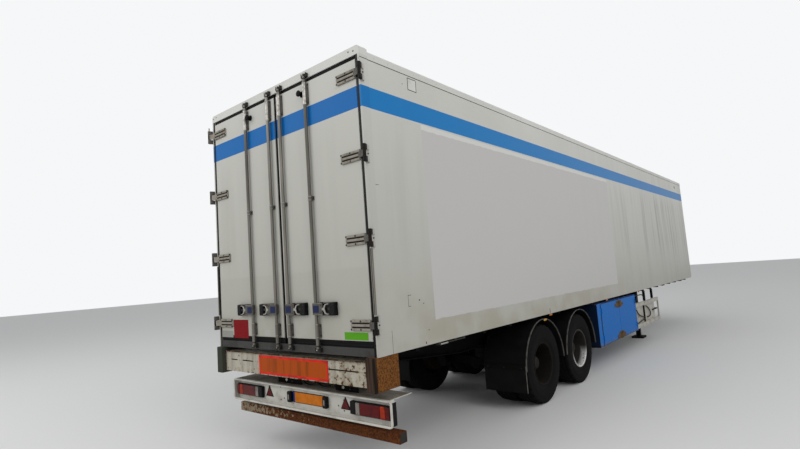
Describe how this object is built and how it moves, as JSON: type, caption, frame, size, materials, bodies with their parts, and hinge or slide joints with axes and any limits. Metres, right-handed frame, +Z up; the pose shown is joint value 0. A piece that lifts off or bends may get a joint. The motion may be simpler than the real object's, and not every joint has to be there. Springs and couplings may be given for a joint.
{
  "type": "box semi trailer",
  "caption": "Insulated box semi trailer with two rear doors that fold right round, twin wheels on two axles, landing legs, side locker and kingpin",
  "frame": {"origin": "On the ground, at the middle of the overall length and width.", "axes": "X to the trailer's right, Y forward towards the tractor, Z up."},
  "size_m": [2.684, 13.938, 4],
  "materials": {
    "white_body": "painted smooth insulated panel, dirty",
    "white_roof": "painted aluminium rail and roof skin",
    "floor_aluminium": "ribbed aluminium floor",
    "sill_steel": "dark grey steel",
    "black_rubber": "moulded",
    "stainless": "weathered stainless steel",
    "black_plastic": "moulded",
    "chassis_paint": "chassis paint with road dirt",
    "bare_steel": "greased forged steel",
    "tyre_rubber": "road tyre",
    "wheel_paint": "dirty painted steel wheel",
    "blue_paint": "gloss blue paint, rusty edges",
    "guard_aluminium": "dull aluminium",
    "worn_white_steel": "worn white paint over rust",
    "rusty_steel": "rusted steel with paint remains",
    "marker_yellow": "faded reflective sheet",
    "lamp_red": "moulded lens",
    "lamp_amber": "moulded lens"
  },
  "bodies": {
    "trailer": {"side_wall_left": "white_body", "side_wall_right": "white_body", "front_wall": "white_body", "rear_corner_posts": "white_body", "cooling_unit": "white_body", "roof": "white_roof", "rear_header": "white_roof", "floor": "floor_aluminium", "rear_sill": "sill_steel", "mud_flaps": "black_rubber", "air_bags": "black_rubber", "corner_buffers": "black_rubber", "door_hinge_brackets": "stainless", "lock_keepers": "stainless", "mudguards": "black_plastic", "cooling_unit_grille": "black_plastic", "connection_panel": "black_plastic", "main_rails": "chassis_paint", "cross_members": "chassis_paint", "coupling_plate": "chassis_paint", "axles": "chassis_paint", "suspension_arms": "chassis_paint", "landing_legs": "chassis_paint", "air_tanks": "chassis_paint", "kingpin": "bare_steel", "locker": "blue_paint", "side_guards": "guard_aluminium", "fuel_tank": "guard_aluminium", "rear_beam": "worn_white_steel", "light_carrier": "worn_white_steel", "underrun_bar": "rusty_steel", "marker_board": "marker_yellow", "number_plate": "marker_yellow", "tail_lamps": "lamp_red", "reflectors": "lamp_red", "side_marker_lamps": "lamp_amber"},
    "rear_door_left": {"rear_door_panel_left": "white_body", "rear_door_rubbers_left": "black_rubber", "lock_bars_left": "stainless", "handle_boxes_left": "black_plastic", "door_hinge_straps_left": "stainless"},
    "rear_door_right": {"rear_door_panel_right": "white_body", "rear_door_rubbers_right": "black_rubber", "lock_bars_right": "stainless", "handle_boxes_right": "black_plastic", "door_hinge_straps_right": "stainless"},
    "wheels_front_left": {"tyres_front_left": "tyre_rubber", "twin_wheel_front_left": "wheel_paint"},
    "wheels_front_right": {"tyres_front_right": "tyre_rubber", "twin_wheel_front_right": "wheel_paint"},
    "locker_door_front": {"locker_door_front": "blue_paint"},
    "wheels_rear_left": {"tyres_rear_left": "tyre_rubber", "twin_wheel_rear_left": "wheel_paint"},
    "wheels_rear_right": {"tyres_rear_right": "tyre_rubber", "twin_wheel_rear_right": "wheel_paint"},
    "locker_door_rear": {"locker_door_rear": "blue_paint"}
  },
  "joints": [
    {"name": "rear_door_left_hinge", "type": "hinge", "parent": "trailer", "child": "rear_door_left", "pos_m": [-1.326, -6.946, 2.59], "axis": [0, 0, -1], "range_deg": [0, 270]},
    {"name": "rear_door_right_hinge", "type": "hinge", "parent": "trailer", "child": "rear_door_right", "pos_m": [1.326, -6.946, 2.59], "axis": [0, 0, 1], "range_deg": [0, 270]},
    {"name": "locker_door_rear_hinge", "type": "hinge", "parent": "trailer", "child": "locker_door_rear", "pos_m": [1.289, -1.291, 0.76], "axis": [0, 0, -1], "range_deg": [0, 170]},
    {"name": "locker_door_front_hinge", "type": "hinge", "parent": "trailer", "child": "locker_door_front", "pos_m": [1.289, 0.694, 0.76], "axis": [0, 0, 1], "range_deg": [0, 170]},
    {"name": "wheels_rear_left_spin", "type": "hinge", "parent": "trailer", "child": "wheels_rear_left", "pos_m": [-0.95, -3.591, 0.525], "axis": [1, 0, 0], "continuous": true},
    {"name": "wheels_rear_right_spin", "type": "hinge", "parent": "trailer", "child": "wheels_rear_right", "pos_m": [0.95, -3.591, 0.525], "axis": [1, 0, 0], "continuous": true},
    {"name": "wheels_front_left_spin", "type": "hinge", "parent": "trailer", "child": "wheels_front_left", "pos_m": [-0.95, -2.281, 0.525], "axis": [1, 0, 0], "continuous": true},
    {"name": "wheels_front_right_spin", "type": "hinge", "parent": "trailer", "child": "wheels_front_right", "pos_m": [0.95, -2.281, 0.525], "axis": [1, 0, 0], "continuous": true}
  ]
}
